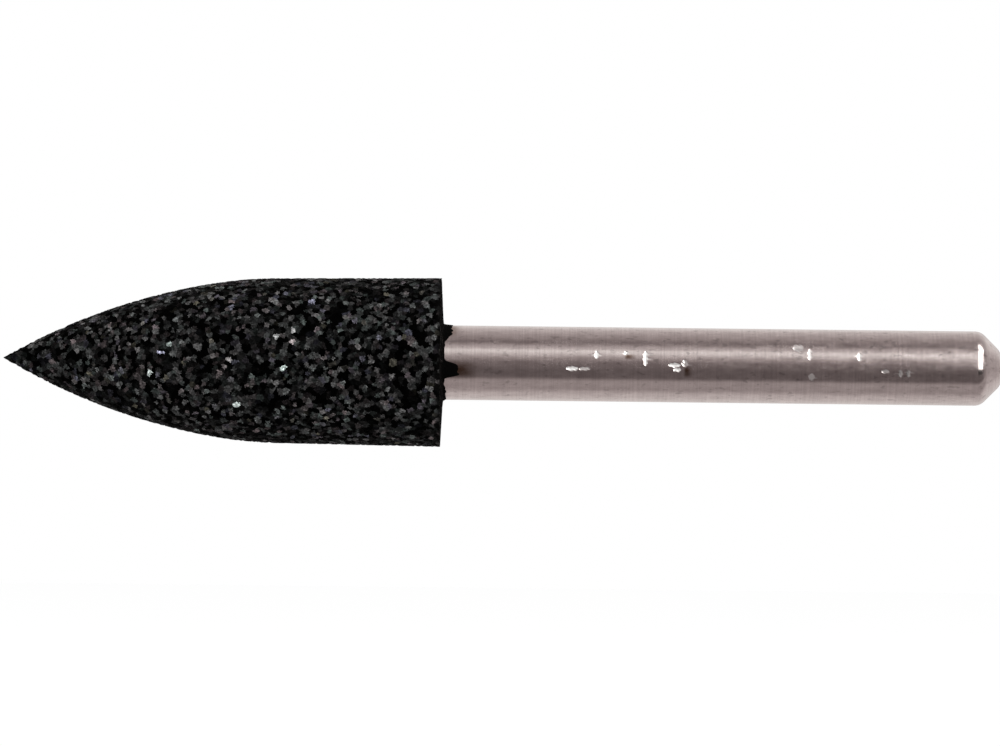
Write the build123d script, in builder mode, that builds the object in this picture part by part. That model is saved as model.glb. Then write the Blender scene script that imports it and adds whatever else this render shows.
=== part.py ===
from build123d import *
from math import pi, radians, sqrt, tan
import os

# A pointed polishing point for a friction-grip handpiece: a moulded abrasive rubber head on a turned steel shank.
# Sizes are in millimetres. X runs along the axis of rotation, with the head's point at -X and the shank's free
# end at +X. The origin is on the axis, where the shank comes out of the head's back.

# Head: a slightly drafted body, a shoulder that turns in, and a long nose that ends in a sharp point
head_length = 9.5
head_diameter = 3.65
nose_length = 5.95
body_draft = 0.67
shoulder_radius = 9.3
shoulder_turn = 9.6
tip_radius = 0.02
back_rise = 0.05
rim_radius = 0.03

# Shank: the free stretch that the chuck grips, with a chamfered and rounded lead-in
shank_diameter = 1.6
shank_free_length = 12.0
lead_chamfer = 0.45
lead_edge_radius = 0.30

# Tang: the shank's buried end, turned down to a shoulder and knurled so that the head can't turn or slide on it
tang_shoulder = 0.20
tang_cover = 3.9
tang_chamfer = 0.12
knurl_setback = 0.7
knurl_end_gap = 0.4
knurl_pitch = 0.31
knurl_depth = 0.08
ring_groove_count = 3
ring_groove_width = 0.36
ring_groove_depth = 0.13

shank_radius = shank_diameter / 2
tang_radius = shank_radius - tang_shoulder
tang_length = head_length - tang_cover
knurl_length = tang_length - knurl_setback - knurl_end_gap
knurl_middle = -knurl_setback - knurl_length / 2
knurl_groove_count = int(2 * pi * tang_radius / knurl_pitch)
ring_groove_pitch = knurl_length / ring_groove_count


# Shank and tang, one turned piece

with BuildPart() as shank:
    with BuildSketch(Plane.YZ):
        Circle(shank_radius)
    extrude(amount=shank_free_length)
    free_end = shank.faces().sort_by(Axis.X)[-1]
    chamfer(free_end.edges(), length=lead_chamfer)
    lead_edges = shank.edges().filter_by(GeomType.CIRCLE).sort_by(Axis.X)[-2:]
    fillet(lead_edges, radius=lead_edge_radius)

    with BuildSketch(Plane.YZ):
        Circle(tang_radius)
    extrude(amount=-tang_length)
    tang_end = shank.faces().sort_by(Axis.X)[0]
    chamfer(tang_end.edges(), length=tang_chamfer)

    # Straight knurl: a square that stands on its corner cuts a right-angled V, as deep as half its diagonal
    with BuildSketch(Plane.YZ.offset(knurl_middle)):
        with PolarLocations(tang_radius, knurl_groove_count):
            Rectangle(knurl_depth * sqrt(2), knurl_depth * sqrt(2), rotation=45)
    extrude(amount=knurl_length / 2, both=True, mode=Mode.SUBTRACT)

    # Ring grooves across the knurl, evenly spaced along it
    with BuildSketch(Plane.XZ):
        with Locations((knurl_middle, tang_radius)):
            with GridLocations(ring_groove_pitch, 0, ring_groove_count, 1):
                Rectangle(ring_groove_width, 2 * ring_groove_depth)
    revolve(axis=Axis.X, mode=Mode.SUBTRACT)


# Head, moulded around the tang: its socket is the tang's exact counterpart, and its back seats on the shoulder

with BuildPart() as abrasive_head:
    with BuildSketch(Plane.XZ) as half_section:
        with BuildLine():
            centre = (0, 0)
            point = (-head_length, 0)
            neck = (0, shank_radius)
            rim = (-back_rise, head_diameter / 2)
            body_length = head_length - nose_length - back_rise
            body_end = (rim[0] - body_length, rim[1] - body_length * tan(radians(body_draft)))
            Polyline(centre, neck, rim)
            body = Line(rim, body_end)
            shoulder = JernArc(body @ 1, body % 1, shoulder_radius, shoulder_turn)
            TangentArc(shoulder @ 1, point, tangent=shoulder % 1)
            Line(point, centre)
        make_face()
        fillet(half_section.vertices().sort_by(Axis.Y)[-1], radius=rim_radius)

        # The tip is rounded on the whole section, mirrored and then halved again
        mirror(about=Plane.XZ)
        fillet(half_section.vertices().sort_by(Axis.X)[0], radius=tip_radius)
        split(bisect_by=Plane.XZ)
    revolve(axis=Axis.X)
    add(shank.part, mode=Mode.SUBTRACT)


abrasive_head.part.label = "abrasive_head"
shank.part.label = "shank"

os.makedirs("parts", exist_ok=True)
export_step(abrasive_head.part, "parts/abrasive_head.step")
export_step(shank.part, "parts/shank.step")
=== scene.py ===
"""The looks of a pointed polishing point: a black head full of abrasive grain on a ground steel shank.

Sizes are in millimetres and angles in degrees until the meshes are made. X is the axis of rotation, the point at -X.
Angles round that axis are counted from the front, which faces the camera, and are positive towards the top.
"""
import math

import bpy
import numpy as np
from mathutils import Matrix, Vector
from mathutils.kdtree import KDTree


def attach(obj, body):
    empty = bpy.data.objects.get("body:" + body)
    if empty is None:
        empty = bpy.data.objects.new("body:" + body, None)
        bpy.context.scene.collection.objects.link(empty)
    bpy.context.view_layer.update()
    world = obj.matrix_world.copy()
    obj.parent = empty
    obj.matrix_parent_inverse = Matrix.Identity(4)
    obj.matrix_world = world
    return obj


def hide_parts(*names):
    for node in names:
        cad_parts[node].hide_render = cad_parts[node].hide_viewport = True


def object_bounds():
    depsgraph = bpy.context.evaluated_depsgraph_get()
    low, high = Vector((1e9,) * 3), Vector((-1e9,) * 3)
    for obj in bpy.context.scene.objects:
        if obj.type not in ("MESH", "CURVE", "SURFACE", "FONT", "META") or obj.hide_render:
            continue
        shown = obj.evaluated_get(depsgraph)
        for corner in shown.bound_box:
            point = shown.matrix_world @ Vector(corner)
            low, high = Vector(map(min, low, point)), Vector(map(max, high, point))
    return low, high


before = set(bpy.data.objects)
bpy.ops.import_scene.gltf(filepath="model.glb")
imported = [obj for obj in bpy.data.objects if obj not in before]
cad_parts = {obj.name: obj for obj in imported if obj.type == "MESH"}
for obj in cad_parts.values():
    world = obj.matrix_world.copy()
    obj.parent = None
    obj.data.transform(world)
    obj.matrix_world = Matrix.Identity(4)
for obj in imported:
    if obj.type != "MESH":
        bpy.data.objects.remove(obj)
cad_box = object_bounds()

MM = 0.001
SEED = 7

# The head's outside, as in the CAD model
HEAD_LENGTH = 9.5
HEAD_RADIUS = 1.825
NOSE_LENGTH = 5.95
BODY_DRAFT = 0.67
SHOULDER_RADIUS = 9.3
SHOULDER_TURN = 9.6
BACK_RISE = 0.05
TIP_RADIUS = 0.02

# The shank and its tang, as in the CAD model
SHANK_RADIUS = 0.8
SHANK_FREE_LENGTH = 12.0
LEAD_CHAMFER = 0.45
LEAD_EDGE_RADIUS = 0.30
TANG_RADIUS = 0.6
TANG_LENGTH = 5.6
TANG_CHAMFER = 0.12
KNURL_SETBACK = 0.7
KNURL_END_GAP = 0.4
KNURL_DEPTH = 0.08
KNURL_GROOVES = 12
RING_GROOVES = 3
RING_GROOVE_WIDTH = 0.36
RING_GROOVE_DEPTH = 0.13

# How fine the meshes are
GRAIN_EDGE = 0.0365
SHANK_SIDES = 320
SHANK_RING_STEP = 0.12
NICK_RINGS = 9
STEP_SLANT = 0.004

# Abrasive grain
GRAIN_SPACING = 0.100
GRAIN_TILT = 0.30
GRAIN_RELIEF = 0.012
RELIEF_LIMIT = 0.028
SKIN_INSET = 0.007
FACET_SIZE = 0.034
# Tones of the grains run from 0, buried in rubber, to this, and on to 1 in the few painted bright as glints
BRIGHTEST_TONE = 0.9
# Grains in front painted bright as glints: distance from the tip, angle, tint and brightness
PAINTED_GLINT_GRAINS = (
    (3.28, -14, 0.10, 0.75),
    (3.43, 7, 0.90, 0.50),
    (3.68, 11, 0.02, 0.25),
    (4.92, 1, 0.60, 0.25),
    (5.18, -32, 0.10, 0.95),
    (5.96, 18, 0.30, 0.45),
    (6.16, -4, 0.02, 0.65),
    (6.31, 13, 0.70, 0.30),
    (6.32, 21, 0.40, 0.30),
    (6.77, 46, 0.90, 0.15),
)
# Share of the grains on the far side painted bright as glints
PAINTED_GLINT_SHARE = 0.003
# Widths over which the grain fades to plain black: at the back rim this is painted shade of the unlit rim, at the tip
# the rubber is bare
RIM_PAINTED_SHADE_WIDTH = 0.14
BARE_TIP = 0.3

# Photograph: its size, and the pixels of the point's tip and of the middle of the shank's free end
PHOTO_SIZE = (1000, 746)
TIP_PIXEL = (3.2, 357.5)
END_PIXEL = (1000.9, 368.9)
LENS = 180.0
SENSOR = 36.0


# Rings and the meshes that they make

def ring(count, x, r, v, shift=0.0):
    """One ring of points round the axis. x and r are numbers or functions of the angle, v is its place on the map."""
    angle = 2 * math.pi * (np.arange(count) + shift) / count
    places = [value(angle) if callable(value) else np.full(count, float(value)) for value in (x, r)]
    return {"count": count, "shift": shift, "angle": angle, "x": places[0], "r": places[1], "v": v}


def join_rings(a, b, first_a, first_b):
    """Triangles between two rings of any two counts: each edge of one ring goes to the nearest point of the other."""
    tie = 1e-6
    edge_a = np.arange(a["count"])
    middle_a = (edge_a + 0.5 + a["shift"]) / a["count"] * b["count"] - b["shift"]
    apex_a = np.ceil(middle_a - 0.5 - tie).astype(int) % b["count"]
    edge_b = np.arange(b["count"])
    middle_b = (edge_b + 0.5 + b["shift"]) / b["count"] * a["count"] - a["shift"]
    apex_b = np.floor(middle_b + 0.5 + tie).astype(int) % a["count"]
    from_a = np.stack((first_a + edge_a, first_a + (edge_a + 1) % a["count"], first_b + apex_a), 1)
    from_b = np.stack((first_b + (edge_b + 1) % b["count"], first_b + edge_b, first_a + apex_b), 1)
    return np.concatenate((from_a, from_b))


def cap_ring(end, first, pole, start):
    """A fan of triangles from a ring to the point on the axis that closes it."""
    edge = np.arange(end["count"])
    following = (edge + 1) % end["count"]
    corners = (first + following, first + edge) if start else (first + edge, first + following)
    return np.stack((*corners, np.full(end["count"], pole)), 1)


def spaced(outline, start, end):
    """Map places from start to end for the rings of an outline, spaced as the outline's points are."""
    length = np.concatenate(((0,), np.cumsum(np.hypot(*np.diff(np.array(outline), axis=0).T))))
    return start + (end - start) * length / length[-1]


def surface(rings, start_x, end_x):
    """Points, triangles and map places of a closed surface through the rings, with a point on the axis at each end."""
    firsts = np.cumsum([0] + [one["count"] for one in rings])
    total = int(firsts[-1])
    angle = np.concatenate([one["angle"] for one in rings])
    x = np.concatenate([one["x"] for one in rings])
    r = np.concatenate([one["r"] for one in rings])
    points = np.stack((x, -r * np.cos(angle), r * np.sin(angle)), 1)
    points = np.concatenate((points, ((start_x, 0, 0), (end_x, 0, 0))))
    faces = [join_rings(rings[i], rings[i + 1], firsts[i], firsts[i + 1]) for i in range(len(rings) - 1)]
    faces.append(cap_ring(rings[0], firsts[0], total, start=True))
    faces.append(cap_ring(rings[-1], firsts[-2], total + 1, start=False))
    around = np.concatenate((angle / (2 * math.pi), (np.nan, np.nan)))
    along = np.concatenate([np.full(one["count"], one["v"]) for one in rings] + [(0.0, 1.0)])
    return points, np.concatenate(faces), around, along


def map_places(faces, around, along):
    """Map coordinates of every triangle's corners, unrolled round the axis, with the seam at the front's angle 0."""
    u = around[faces]
    crosses = np.nanmax(u, 1) - np.nanmin(u, 1) > 0.5
    u = np.where(crosses[:, None] & (u < 0.5), u + 1, u)
    u = np.where(np.isnan(u), np.nanmean(u, 1)[:, None], u)
    return np.stack((u / u.max(), along[faces]), -1)


def make_piece(name, points, faces, uv):
    """A mesh object in metres from points in millimetres, with its faces turned outwards."""
    a, b, c = (points[faces[:, i]] for i in range(3))
    if np.einsum("ij,ij->", a, np.cross(b, c)) < 0:
        faces, uv = faces[:, ::-1], uv[:, ::-1]
    mesh = bpy.data.meshes.new(name)
    mesh.from_pydata((points * MM).tolist(), [], faces.tolist())
    layer = mesh.uv_layers.new(name="OFBake")
    layer.data.foreach_set("uv", uv.astype(np.float32).ravel())
    piece = bpy.data.objects.new(name, mesh)
    bpy.context.scene.collection.objects.link(piece)
    return piece, faces


# Outlines, as lists of (x, r)

def bend(start, heading, turn, radius, count=64):
    """Points of an arc that leaves start towards -X, heading in by that angle and turning further in."""
    angles = np.radians(np.linspace(heading, heading + turn, count))
    first = math.radians(heading)
    x = start[0] - radius * (np.sin(angles) - math.sin(first))
    r = start[1] - radius * (math.cos(first) - np.cos(angles))
    return np.stack((x, r), 1)


def head_outline():
    """The head's outside from its neck over the back, the body and the nose to the tip."""
    body_length = HEAD_LENGTH - NOSE_LENGTH - BACK_RISE
    rim = (-BACK_RISE, HEAD_RADIUS)
    body_end = (rim[0] - body_length, rim[1] - body_length * math.tan(math.radians(BODY_DRAFT)))
    shoulder = bend(body_end, BODY_DRAFT, SHOULDER_TURN, SHOULDER_RADIUS)
    heading = BODY_DRAFT + SHOULDER_TURN
    start = shoulder[-1]
    reach = HEAD_LENGTH + start[0]
    half_turn = math.degrees(math.atan2(start[1], reach)) - heading
    nose_radius = math.hypot(start[1], reach) / (2 * math.sin(math.radians(half_turn)))
    nose = bend(start, heading, 2 * half_turn, nose_radius)
    nose = nose[nose[:, 1] > TIP_RADIUS]
    return np.concatenate((((0, SHANK_RADIUS), rim), shoulder, nose))


def tang_stations():
    """(x, r, knurled) of the tang's rings from its end to its shoulder. Steps slant a little, so no face is empty."""
    knurl_start = KNURL_END_GAP - TANG_LENGTH
    pitch = (-KNURL_SETBACK - knurl_start) / RING_GROOVES
    stations = [
        (-TANG_LENGTH, TANG_RADIUS - TANG_CHAMFER, False),
        (TANG_CHAMFER - TANG_LENGTH, TANG_RADIUS, False),
        (knurl_start, TANG_RADIUS, False),
    ]
    land_start = knurl_start
    for i in range(RING_GROOVES):
        groove_start = knurl_start + (i + 0.5) * pitch - RING_GROOVE_WIDTH / 2
        groove_end = groove_start + RING_GROOVE_WIDTH
        stations += [
            (land_start + STEP_SLANT, TANG_RADIUS, True),
            (groove_start - STEP_SLANT, TANG_RADIUS, True),
            (groove_start, TANG_RADIUS - RING_GROOVE_DEPTH, False),
            (groove_end, TANG_RADIUS - RING_GROOVE_DEPTH, False),
        ]
        land_start = groove_end
    stations += [
        (land_start + STEP_SLANT, TANG_RADIUS, True),
        (-KNURL_SETBACK - STEP_SLANT, TANG_RADIUS, True),
        (-KNURL_SETBACK, TANG_RADIUS, False),
        (0, TANG_RADIUS, False),
    ]
    return stations


def knurl(angle):
    """The tang's radius where it is knurled: V grooves at even angles, each as wide as twice its depth."""
    step = 2 * math.pi / KNURL_GROOVES
    from_groove = np.abs((angle + step / 2) % step - step / 2) * TANG_RADIUS
    return TANG_RADIUS - np.maximum(0, KNURL_DEPTH - from_groove)


def tang_rings(v_start, v_end):
    """The tang's rings from its end to its shoulder, which are also the rings of the head's socket."""
    stations = tang_stations()
    return [
        ring(SHANK_SIDES, x, knurl if knurled else r, v)
        for (x, r, knurled), v in zip(stations, np.linspace(v_start, v_end, len(stations)))
    ]


# Head

# Tongues of rubber that crept out of the mould along the shank: angle, half width in degrees, length
FLASH_TONGUES = (
    (66, 27, 0.15),
    (-11, 12, 0.30),
    (-62, 20, 0.03),
    (122, 12, 0.08),
    (176, 30, 0.05),
    (-128, 17, 0.12),
)
FLASH_FRINGE = 0.022
FLASH_THICKNESS = 0.022
FLASH_SINK = 0.003


def flash_length(angle):
    """How far the rubber reaches along the shank at each angle."""
    ragged = 0.5 * np.sin(9 * angle + 1) * np.sin(23 * angle) + 0.25 * np.sin(41 * angle) * np.sin(5 * angle)
    length = FLASH_FRINGE * (1.3 + ragged)
    for place, half_width, reach in FLASH_TONGUES:
        off = (angle - math.radians(place) + math.pi) % (2 * math.pi) - math.pi
        length = length + reach * (1 + 0.15 * ragged) * np.exp(-((off / math.radians(half_width)) ** 6))
    return length


def flash_rings(v_start, v_end):
    """Rings of the thin flash, from its edge inside the socket's mouth, out along the shank and back to the head."""
    profile = (
        (0.0, -FLASH_SINK),
        (0.97, -FLASH_SINK),
        (1.0, 0.35 * FLASH_THICKNESS),
        (0.93, 0.75 * FLASH_THICKNESS),
        (0.5, FLASH_THICKNESS),
        (0.1, 1.4 * FLASH_THICKNESS),
    )
    return [
        ring(SHANK_SIDES, lambda angle, share=share: share * flash_length(angle), SHANK_RADIUS + rise, v)
        for (share, rise), v in zip(profile, np.linspace(v_start, v_end, len(profile)))
    ]


def grain_rings(v_start, v_end):
    """Evenly spaced rings over the head's outside, with as many points each as keep all edges about as long."""
    outline = head_outline()
    outline[0] = (0, SHANK_RADIUS + 2 * FLASH_THICKNESS)
    length = np.concatenate(((0,), np.cumsum(np.hypot(*np.diff(outline, axis=0).T))))
    count = int(length[-1] / (GRAIN_EDGE * math.sqrt(3) / 2))
    golden = (math.sqrt(5) - 1) / 2
    rings = []
    for i, share in enumerate(np.linspace(0, 1, count)):
        x = np.interp(share * length[-1], length, outline[:, 0])
        r = np.interp(share * length[-1], length, outline[:, 1])
        sides = max(6, round(2 * math.pi * r / GRAIN_EDGE))
        rings.append(ring(sides, x, r, v_start + share * (v_end - v_start), shift=i * golden % 1))
    return rings


def outward(points, faces):
    """The surface's direction at each point, as the mean of its triangles' directions."""
    a, b, c = (points[faces[:, i]] for i in range(3))
    turned = np.cross(b - a, c - a)
    sums = np.zeros_like(points)
    for i in range(3):
        np.add.at(sums, faces[:, i], turned)
    return sums / np.linalg.norm(sums, axis=1)[:, None]


def grain_tree(seeds):
    grains = KDTree(len(seeds))
    for i, seed in enumerate(seeds):
        grains.insert(seed, i)
    grains.balance()
    return grains


def nearest_grain(grains, points):
    return np.array([grains.find(point)[1] for point in points])


def scatter(rng, points):
    """The grains' middles: points picked at random, each then moved to the middle of what lies nearest to it."""
    count = int(len(points) * GRAIN_EDGE**2 * math.sqrt(3) / 2 / GRAIN_SPACING**2)
    seeds = points[rng.choice(len(points), count, replace=False)]
    own = nearest_grain(grain_tree(seeds), points)
    sums = np.zeros_like(seeds)
    np.add.at(sums, own, points)
    return sums / np.bincount(own, minlength=count)[:, None]


def build_head(rng):
    """The head with its grain as real relief, its flash and its socket, and a tone and a tint for each grain."""
    socket = tang_rings(0.0, 0.04)
    flash = flash_rings(0.05, 0.08)
    outside = grain_rings(0.09, 0.999)
    rings = socket + flash + outside
    points, faces, around, along = surface(rings, -TANG_LENGTH, TIP_RADIUS - HEAD_LENGTH)
    uv = map_places(faces, around, along)
    piece, faces = make_piece("abrasive_head_grain", points, faces, uv)

    first = sum(one["count"] for one in socket + flash)
    skin = np.zeros(len(points), bool)
    skin[first:-2] = True
    normals = outward(points, faces)
    jitter = rng.uniform(-0.3, 0.3, (len(points), 3)) * GRAIN_EDGE
    jitter -= np.einsum("ij,ij->i", jitter, normals)[:, None] * normals
    reach = points[:, 0] + HEAD_LENGTH
    at_neck = np.hypot(points[:, 1], points[:, 2]) - SHANK_RADIUS
    fade = np.clip(reach / 0.25, 0, 1)
    fade[points[:, 0] > -0.04] *= np.clip(at_neck[points[:, 0] > -0.04] / 0.1 - 0.5, 0, 1)
    near_rim = (np.abs(points[:, 0] + BACK_RISE) < 1e-3) | (np.abs(HEAD_RADIUS - at_neck - SHANK_RADIUS) < 0.002)
    jitter[near_rim | ~skin] = 0
    moved = points + jitter * fade[:, None]

    seeds = scatter(rng, moved[skin])
    count = len(seeds)
    grains = grain_tree(seeds)

    tone = rng.uniform(0, BRIGHTEST_TONE, count)
    tint = rng.random(count)
    tilt = rng.normal(0, GRAIN_TILT, (count, 3))
    level = GRAIN_RELIEF * (1 - tone) * rng.uniform(0.7, 1.3, count)
    # A few grains on the far side, and the listed ones in front, are painted bright as glints
    painted_glints_behind = (rng.random(count) < PAINTED_GLINT_SHARE) & (seeds[:, 1] > 0)
    tone[painted_glints_behind] = rng.uniform(BRIGHTEST_TONE, 1, painted_glints_behind.sum())
    for from_tip, angle, glint_tint, brightness in PAINTED_GLINT_GRAINS:
        x = from_tip - HEAD_LENGTH
        r = np.interp(-x, -head_outline()[:, 0], head_outline()[:, 1])
        turn = math.radians(angle)
        index = grains.find((x, -r * math.cos(turn), r * math.sin(turn)))[1]
        tone[index] = BRIGHTEST_TONE + (1 - BRIGHTEST_TONE) * brightness
        tint[index] = glint_tint
    own = nearest_grain(grains, moved[skin])
    height = np.einsum("ij,ij->i", moved[skin] - seeds[own], tilt[own]) - level[own] - GRAIN_RELIEF
    height = np.clip(height, -RELIEF_LIMIT, -SKIN_INSET) * fade[skin]
    moved[skin] += normals[skin] * height[:, None]
    piece.data.vertices.foreach_set("co", (moved * MM).astype(np.float32).ravel())

    middles = moved[faces].mean(1)
    of_face = nearest_grain(grains, middles)
    on_skin = skin[faces].all(1)
    # Grain faded to plain black at the back rim, as painted shade of the unlit rim, and at the bare tip
    shown = np.clip((-middles[:, 0] - BACK_RISE) / RIM_PAINTED_SHADE_WIDTH, 0, 1)
    shown *= np.clip((middles[:, 0] + HEAD_LENGTH) / BARE_TIP, 0, 1)
    for name, values in (("grain_tone", tone), ("grain_tint", tint)):
        layer = piece.data.attributes.new(name, "FLOAT", "FACE")
        layer.data.foreach_set("value", np.where(on_skin, values[of_face], 0.2).astype(np.float32))
    layer = piece.data.attributes.new("grain_show_rim_shade", "FLOAT", "FACE")
    layer.data.foreach_set("value", np.where(on_skin, shown, 0).astype(np.float32))
    piece.data.update()
    return piece


# Shank

# Nicks in the shank, real grooves painted near white as glints, brighter the deeper: distance from the head, angle,
# length along the shank, width round it and depth
NICKS_WITH_PAINTED_GLINT = (
    (2.76, -7, 0.27, 0.10, 0.024),
    (3.02, -7, 0.26, 0.08, 0.014),
    (3.28, 15, 0.10, 0.19, 0.022),
    (3.91, 18, 0.09, 0.10, 0.016),
    (4.33, 10, 0.10, 0.34, 0.018),
    (4.95, 0, 0.27, 0.10, 0.022),
    (5.00, -7, 0.18, 0.09, 0.022),
    (5.17, 3, 0.15, 0.17, 0.010),
    (7.59, 29, 0.25, 0.20, 0.010),
    (7.84, 19, 0.09, 0.26, 0.012),
    (7.88, -16, 0.15, 0.17, 0.008),
    (8.90, 16, 0.11, 0.19, 0.012),
    (9.45, -6, 0.19, 0.09, 0.009),
    (9.78, -9, 0.10, 0.17, 0.008),
    (9.95, -9, 0.10, 0.17, 0.008),
)
# Depth at which a nick's painted glint is full white
FULL_GLINT_DEPTH = 0.024
NICK_RAGGEDNESS = 0.25
NICK_WAVES = 60

# Brown smears on the shank: distance from the head, angle, length along the shank and width round it
SMEARS = (
    (0.25, -11, 0.80, 0.34),
    (0.05, 66, 0.50, 0.55),
    (3.96, 12, 0.15, 0.10),
    (5.21, -10, 0.11, 0.22),
    (0.05, -128, 0.55, 0.40),
)


def shank_outline():
    """(x, r) of the shank's outside from the shoulder over the rounded lead-in to the end face."""
    set_off = LEAD_EDGE_RADIUS * math.tan(math.radians(22.5))
    straight_end = SHANK_FREE_LENGTH - LEAD_CHAMFER - set_off
    places = [np.linspace(0, straight_end, int(straight_end / SHANK_RING_STEP))]
    places += [np.linspace(x - 0.52 * length, x + 0.52 * length, NICK_RINGS) for x, _, length, _, _ in NICKS_WITH_PAINTED_GLINT]
    straight = [(x, SHANK_RADIUS) for x in sorted(set(np.concatenate(places).round(4)))]
    turns = np.radians(np.linspace(0, 45, 9))
    first = [
        (straight_end + LEAD_EDGE_RADIUS * math.sin(t), SHANK_RADIUS - LEAD_EDGE_RADIUS * (1 - math.cos(t)))
        for t in turns[1:]
    ]
    face_radius = SHANK_RADIUS - LEAD_CHAMFER - set_off
    second = [
        (
            SHANK_FREE_LENGTH - LEAD_EDGE_RADIUS * (1 - math.cos(t)),
            face_radius + LEAD_EDGE_RADIUS * math.sin(t),
        )
        for t in turns[::-1]
    ]
    return straight + first + second


def off_place(points, place):
    """How far round the shank each point is from an angle, in millimetres."""
    angle = np.arctan2(points[:, 2], -points[:, 1]) - math.radians(place)
    return ((angle + math.pi) % (2 * math.pi) - math.pi) * SHANK_RADIUS


def build_shank():
    """The shank with its knurled tang, with its nicks as real grooves painted white as glints, and brown smears on it.
    """
    tang = tang_rings(0.0, 0.05)
    outline = shank_outline()
    free = [ring(SHANK_SIDES, x, r, v) for (x, r), v in zip(outline, spaced(outline, 0.06, 0.999))]
    points, faces, around, along = surface(tang + free, -TANG_LENGTH, SHANK_FREE_LENGTH)
    uv = map_places(faces, around, along)

    outside = (points[:, 0] > 0.01) & (np.hypot(points[:, 1], points[:, 2]) > SHANK_RADIUS - 1e-6)
    nick_glint_paint = np.zeros(len(points))
    dent = np.zeros(len(points))
    for x, place, length, width, depth in NICKS_WITH_PAINTED_GLINT:
        across = np.abs(off_place(points, place)) / (width / 2)
        lengthwise = np.abs(points[:, 0] - x) / (length / 2)
        short, long = (across, lengthwise) if width < length else (lengthwise, across)
        ragged = 1 + NICK_RAGGEDNESS * np.sin(NICK_WAVES * (points[:, 0] + off_place(points, place)))
        share = np.clip(1 - short * ragged - long**4, 0, 1) * outside
        # Painted glint: how white each point of a nick is painted
        nick_glint_paint = np.maximum(nick_glint_paint, np.clip(3 * share, 0, 1) * depth / FULL_GLINT_DEPTH)
        dent = np.maximum(dent, depth * share)
    smeared = np.zeros(len(points))
    for x, place, length, width in SMEARS:
        across = off_place(points, place) / (width / 2)
        lengthwise = (points[:, 0] - x) / (length / 2)
        smeared = np.maximum(smeared, np.exp(-(across**4) - lengthwise**4) * outside)
    points[:, 1:] *= (1 - dent / SHANK_RADIUS)[:, None]

    piece, faces = make_piece("shank_ground", points, faces, uv)
    for name, values in (("nick_glint", nick_glint_paint), ("smear", smeared)):
        layer = piece.data.attributes.new(name, "FLOAT", "POINT")
        layer.data.foreach_set("value", values.astype(np.float32))
    piece.data.shade_smooth()
    piece.data.set_sharp_from_angle(angle=math.radians(20))
    return piece


# Materials

def node(tree, kind, inputs=None, **settings):
    """A new node with its settings, and its inputs as values or as the sockets that feed them."""
    made = tree.nodes.new(kind)
    for name, value in settings.items():
        setattr(made, name, value)
    for name, value in (inputs or {}).items():
        if isinstance(value, bpy.types.NodeSocket):
            tree.links.new(value, made.inputs[name])
        else:
            made.inputs[name].default_value = value
    return made


def ramp(tree, factor, stops):
    """A colour ramp through (place, colour) stops. A colour is a grey or three numbers."""
    made = node(tree, "ShaderNodeValToRGB", {"Fac": factor})
    elements = made.color_ramp.elements
    while len(elements) < len(stops):
        elements.new(0.5)
    for element, (place, colour) in zip(elements, stops):
        element.position = place
        rgb = (colour,) * 3 if isinstance(colour, (int, float)) else colour
        element.color = (*rgb, 1)
    return made.outputs["Color"]


def new_material(name):
    material = bpy.data.materials.new(name)
    material.use_nodes = True
    tree = material.node_tree
    tree.nodes.clear()
    shader = node(tree, "ShaderNodeBsdfPrincipled")
    node(tree, "ShaderNodeOutputMaterial", {"Surface": shader.outputs["BSDF"]})
    return material, tree, shader


def noise(tree, place, sizes, detail=2.0, roughness=0.5):
    """Noise whose blotches are about as large as sizes, in millimetres along X, Y and Z."""
    scaled = node(
        tree,
        "ShaderNodeVectorMath",
        {0: place, 1: [1 / (size * MM) for size in sizes]},
        operation="MULTIPLY",
    )
    inputs = {"Vector": scaled.outputs["Vector"], "Scale": 1.0, "Detail": detail, "Roughness": roughness}
    return node(tree, "ShaderNodeTexNoise", inputs).outputs["Fac"]


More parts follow.
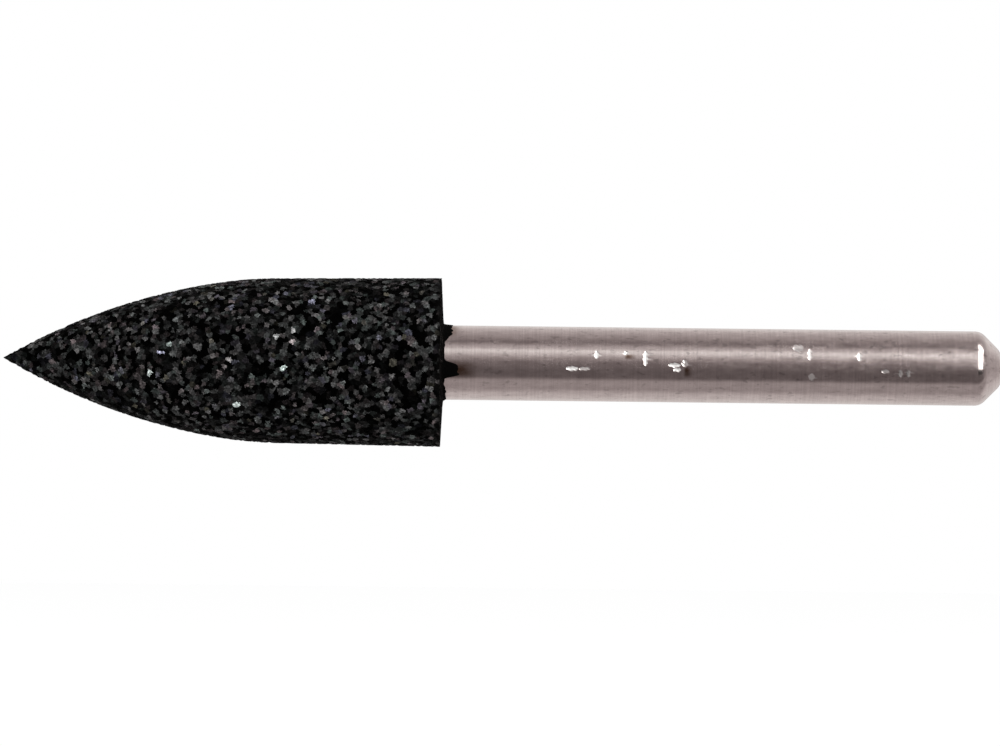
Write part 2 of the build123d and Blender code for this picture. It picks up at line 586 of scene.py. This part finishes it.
def rubber_material():
    """Black rubber with abrasive grain in many dark greys, a few grains painted near white as glints, and plain black
    at the back rim as painted shade.
    """
    material, tree, shader = new_material("abrasive_rubber")
    place = node(tree, "ShaderNodeTexCoord").outputs["Object"]
    tone, tint, grain_shown_rim_shade = (
        node(tree, "ShaderNodeAttribute", attribute_name=name).outputs["Fac"]
        for name in ("grain_tone", "grain_tint", "grain_show_rim_shade")
    )
    # Grey of each grain; tones above BRIGHTEST_TONE are painted glints, near white
    grey = ramp(
        tree,
        tone,
        ((0, 0), (0.25, 0.0002), (0.45, 0.005), (0.65, 0.021), (0.81, 0.053), (BRIGHTEST_TONE, 0.12), (1, 0.85)),
    )
    hue = ramp(
        tree,
        tint,
        (
            (0, (0.84, 1.0, 0.94)),
            (0.2, (0.96, 1.0, 0.99)),
            (0.6, (1.05, 1.0, 1.0)),
            (0.8, (1.22, 0.98, 1.0)),
            (0.9, (0.94, 0.95, 1.25)),
            (1, (1.12, 1.04, 0.78)),
        ),
    )
    facets = node(tree, "ShaderNodeTexVoronoi", {"Vector": place, "Scale": 1 / (FACET_SIZE * MM)})
    facet = node(tree, "ShaderNodeSeparateColor", {"Color": facets.outputs["Color"]}).outputs["Red"]
    mottled = ramp(tree, facet, ((0, 0.35), (0.5, 0.9), (0.85, 1.35), (1, 2.2)))
    tinted = node(tree, "ShaderNodeMix", {6: grey, 7: hue, 0: 1.0}, data_type="RGBA", blend_type="MULTIPLY")
    grainy = node(
        tree, "ShaderNodeMix", {6: tinted.outputs[2], 7: mottled, 0: 1.0}, data_type="RGBA", blend_type="MULTIPLY"
    )
    # Plain black where the grain is faded out: painted shade at the back rim, bare rubber at the tip
    colour = node(
        tree, "ShaderNodeMix", {0: grain_shown_rim_shade, 6: (0.0022, 0.002, 0.002, 1), 7: grainy.outputs[2]}, data_type="RGBA"
    )
    tree.links.new(colour.outputs[2], shader.inputs["Base Color"])
    tree.links.new(ramp(tree, tone, ((0, 0.9), (0.8, 0.7), (0.92, 0.4))), shader.inputs["Roughness"])
    shader.inputs["Specular IOR Level"].default_value = 0.02
    bump = node(
        tree,
        "ShaderNodeBump",
        {"Height": facets.outputs["Distance"], "Strength": 0.6, "Distance": 0.006 * MM},
    )
    tree.links.new(bump.outputs["Normal"], shader.inputs["Normal"])
    return material


def steel_material():
    """Ground steel with a faint warm cast, fine marks round it from the grinding, nicks painted white as glints and
    brown smears.
    """
    material, tree, shader = new_material("ground_steel")
    place = node(tree, "ShaderNodeTexCoord").outputs["Object"]
    nick_glint, smear = (
        node(tree, "ShaderNodeAttribute", attribute_name=name).outputs["Fac"] for name in ("nick_glint", "smear")
    )
    marks = noise(tree, place, (0.035, 1.5, 1.5), detail=3.0)
    blotches = noise(tree, place, (0.35, 0.12, 0.12), detail=4.0, roughness=0.6)
    toned = ramp(tree, blotches, ((0.3, (0.52, 0.465, 0.46)), (0.7, (0.64, 0.58, 0.573))))
    streaked = ramp(tree, marks, ((0.3, 0.92), (0.7, 1.05)))
    specks = ramp(tree, noise(tree, place, (0.16, 0.09, 0.09), detail=1.0), ((0.62, 1.0), (0.74, 0.78)))
    marked = node(tree, "ShaderNodeMix", {0: 1.0, 6: streaked, 7: specks}, data_type="RGBA", blend_type="MULTIPLY")
    ground = node(
        tree, "ShaderNodeMix", {0: 1.0, 6: toned, 7: marked.outputs[2]}, data_type="RGBA", blend_type="MULTIPLY"
    )
    patchy = node(tree, "ShaderNodeMath", {0: smear, 1: ramp(tree, blotches, ((0.3, 0.55), (0.6, 1)))})
    patchy.operation = "MULTIPLY"
    smeared = node(
        tree, "ShaderNodeMix", {0: patchy.outputs[0], 6: ground.outputs[2], 7: (0.16, 0.10, 0.07, 1)}, data_type="RGBA"
    )
    # Nicks painted near white and less metallic, as painted glints
    colour = node(tree, "ShaderNodeMix", {0: nick_glint, 6: smeared.outputs[2], 7: (0.95, 0.95, 0.93, 1)}, data_type="RGBA")
    tree.links.new(colour.outputs[2], shader.inputs["Base Color"])
    tree.links.new(ramp(tree, nick_glint, ((0, 1.0), (1, 0.3))), shader.inputs["Metallic"])
    tree.links.new(ramp(tree, blotches, ((0.3, 0.13), (0.7, 0.22))), shader.inputs["Roughness"])
    bump = node(tree, "ShaderNodeBump", {"Height": marks, "Strength": 0.3, "Distance": 0.0015 * MM})
    tree.links.new(bump.outputs["Normal"], shader.inputs["Normal"])
    return material


# Studio

FLOOR_DROP = 10.0
FLOOR_SIZE = 240.0
FLOOR_GREY = 0.65
FLOOR_LIFT = 0.50
WORLD_LEVEL = 0.64

KEY_ANGLE = 30
KEY_DISTANCE = 500.0
KEY_LENGTH = 600.0
KEY_WIDTH = 80.0
KEY_LEVEL = 7.6

# Screen that the metal mirrors: an angle round the axis and a brightness
SCREEN = (
    (-180, 0.50),
    (-162, 0.85),
    (-140, 0.85),
    (-104, 0.72),
    (-84, 0.44),
    (-54, 0.48),
    (-43, 0.17),
    (-20, 0.17),
    (5, 0.25),
    (20, 0.48),
    (35, 1.05),
    (42, 1.15),
    (47, 0.70),
    (55, 0.60),
    (63, 0.36),
    (70, 0.26),
    (84, 0.40),
    (110, 0.62),
    (150, 0.95),
    (162, 0.90),
    (180, 0.50),
)
SCREEN_RADIUS = 250.0
SCREEN_REACH = 300.0
SCREEN_END_LEVEL = 0.50

# Window in front of the screen, which glints on the rounded edge of the shank's end, and the dark sill below it
WINDOW_RADIUS = 150.0
WINDOW_REACH = (46.0, 178.0)
WINDOW = ((-2, 3.6), (20, 3.6), (40, 3.6), (60, 3.6), (82, 3.6))
SILL = ((-22, 0.02), (-2, 0.02))


def build_world():
    """White to look at, mirrored or through glass, and a plain even light on the object."""
    world = bpy.data.worlds.new("studio")
    bpy.context.scene.world = world
    world.use_nodes = True
    tree = world.node_tree
    tree.nodes.clear()
    rays = node(tree, "ShaderNodeLightPath")
    seen = node(
        tree,
        "ShaderNodeMath",
        {0: rays.outputs["Is Camera Ray"], 1: rays.outputs["Is Glossy Ray"]},
        operation="MAXIMUM",
    )
    white = node(
        tree,
        "ShaderNodeMath",
        {0: seen.outputs[0], 1: rays.outputs["Is Transmission Ray"]},
        operation="MAXIMUM",
    )
    level = node(tree, "ShaderNodeMapRange", {"Value": white.outputs[0], "To Min": WORLD_LEVEL, "To Max": 1.0})
    background = node(tree, "ShaderNodeBackground", {"Strength": level.outputs["Result"]})
    background.inputs["Color"].default_value = (1, 1, 1, 1)
    node(tree, "ShaderNodeOutputWorld", {"Surface": background.outputs["Background"]})


def build_floor():
    """A pale floor that keeps the object's shadow and looks as white as the background."""
    half = FLOOR_SIZE / 2 * MM
    drop = -FLOOR_DROP * MM
    mesh = bpy.data.meshes.new("floor")
    corners = [(-half, -half, drop), (half, -half, drop), (half, half, drop), (-half, half, drop)]
    mesh.from_pydata(corners, [], [(0, 1, 2, 3)])
    floor = bpy.data.objects.new("floor", mesh)
    bpy.context.scene.collection.objects.link(floor)
    material, tree, shader = new_material("floor_white")
    shader.inputs["Base Color"].default_value = (FLOOR_GREY, FLOOR_GREY, FLOOR_GREY, 1)
    shader.inputs["Roughness"].default_value = 0.9
    shader.inputs["Specular IOR Level"].default_value = 0.0
    shader.inputs["Emission Color"].default_value = (1, 1, 1, 1)
    rays = node(tree, "ShaderNodeLightPath")
    lift = node(tree, "ShaderNodeMath", {0: rays.outputs["Is Camera Ray"], 1: FLOOR_LIFT}, operation="MULTIPLY")
    tree.links.new(lift.outputs[0], shader.inputs["Emission Strength"])
    mesh.materials.append(material)
    floor.visible_glossy = False


def build_reflector(name, radius, start, end, levels, end_level=None):
    """A glowing curved sheet along the object, from (angle, level) pairs, that only shows in reflections."""
    points = []
    for place, _ in levels:
        angle = math.radians(place)
        y, z = -radius * math.cos(angle), radius * math.sin(angle)
        points += [(start, y, z), (end, y, z)]
    faces = [(2 * i, 2 * i + 1, 2 * i + 3, 2 * i + 2) for i in range(len(levels) - 1)]
    glows = [level for _, level in levels for _ in range(2)]
    if end_level is not None:
        middle = len(points)
        points += [(start, 0, 0), (end, 0, 0)]
        faces += [(2 * i + side, 2 * i + 2 + side, middle + side) for i in range(len(levels) - 1) for side in (0, 1)]
        glows += [end_level, end_level]

    mesh = bpy.data.meshes.new(name)
    mesh.from_pydata((np.array(points) * MM).tolist(), [], faces)
    layer = mesh.attributes.new("level", "FLOAT", "POINT")
    layer.data.foreach_set("value", glows)
    sheet = bpy.data.objects.new(name, mesh)
    bpy.context.scene.collection.objects.link(sheet)
    material = bpy.data.materials.new(name)
    material.use_nodes = True
    tree = material.node_tree
    tree.nodes.clear()
    level = node(tree, "ShaderNodeAttribute", attribute_name="level").outputs["Fac"]
    warmth = ramp(tree, level, ((0.2, (1.0, 0.85, 0.84)), (1.0, (1.0, 0.97, 0.94))))
    glow = node(tree, "ShaderNodeEmission", {"Color": warmth, "Strength": level})
    node(tree, "ShaderNodeOutputMaterial", {"Surface": glow.outputs["Emission"]})
    mesh.materials.append(material)
    sheet.visible_camera = False
    sheet.visible_diffuse = False
    sheet.visible_transmission = False
    sheet.visible_shadow = False


def build_key():
    """A long softbox in front and above."""
    light = bpy.data.lights.new("key", "AREA")
    light.shape = "RECTANGLE"
    light.size = KEY_LENGTH * MM
    light.size_y = KEY_WIDTH * MM
    light.energy = KEY_LEVEL * math.pi * light.size * light.size_y
    lamp = bpy.data.objects.new("key", light)
    bpy.context.scene.collection.objects.link(lamp)
    angle = math.radians(KEY_ANGLE)
    middle = (cad_box[0] + cad_box[1]) / 2
    away = Vector((0, -math.cos(angle), math.sin(angle)))
    lamp.location = middle + away * KEY_DISTANCE * MM
    lamp.rotation_mode = "QUATERNION"
    lamp.rotation_quaternion = (-away).to_track_quat("-Z", "Y")
    lamp.visible_glossy = False


def build_camera():
    """The camera that puts the tip and the shank's end on their pixels of the photograph, level and from the front."""
    tip = Vector((cad_box[0].x, 0, 0))
    length = cad_box[1].x - cad_box[0].x
    across = END_PIXEL[0] - TIP_PIXEL[0]
    down = END_PIXEL[1] - TIP_PIXEL[1]
    pixel = length / math.hypot(across, down)
    roll = math.atan2(down, across)
    right = Vector((math.cos(roll), 0, math.sin(roll)))
    up = Vector((-math.sin(roll), 0, math.cos(roll)))
    back = Vector((0, -1, 0))
    aim = (
        tip
        + right * (PHOTO_SIZE[0] / 2 - TIP_PIXEL[0]) * pixel
        + up * (TIP_PIXEL[1] - PHOTO_SIZE[1] / 2) * pixel
    )
    data = bpy.data.cameras.new("camera")
    data.lens = LENS
    data.sensor_width = SENSOR
    data.clip_start = 0.01
    camera = bpy.data.objects.new("camera", data)
    bpy.context.scene.collection.objects.link(camera)
    distance = PHOTO_SIZE[0] * pixel * LENS / SENSOR
    rotation = Matrix((right, up, back)).transposed().to_4x4()
    camera.matrix_world = Matrix.Translation(aim + back * distance) @ rotation
    bpy.context.scene.camera = camera


rng = np.random.default_rng(SEED)

head = build_head(rng)
head.data.materials.append(rubber_material())
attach(head, "root")
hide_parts("abrasive_head")

shank = build_shank()
shank.data.materials.append(steel_material())
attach(shank, "root")
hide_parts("shank")

build_world()
build_floor()
build_reflector("screen", SCREEN_RADIUS, -SCREEN_REACH, SCREEN_REACH, SCREEN, SCREEN_END_LEVEL)
build_reflector("window", WINDOW_RADIUS, *WINDOW_REACH, WINDOW)
build_reflector("sill", WINDOW_RADIUS, *WINDOW_REACH, SILL)
build_key()
build_camera()
bpy.context.scene.view_settings.view_transform = "Standard"
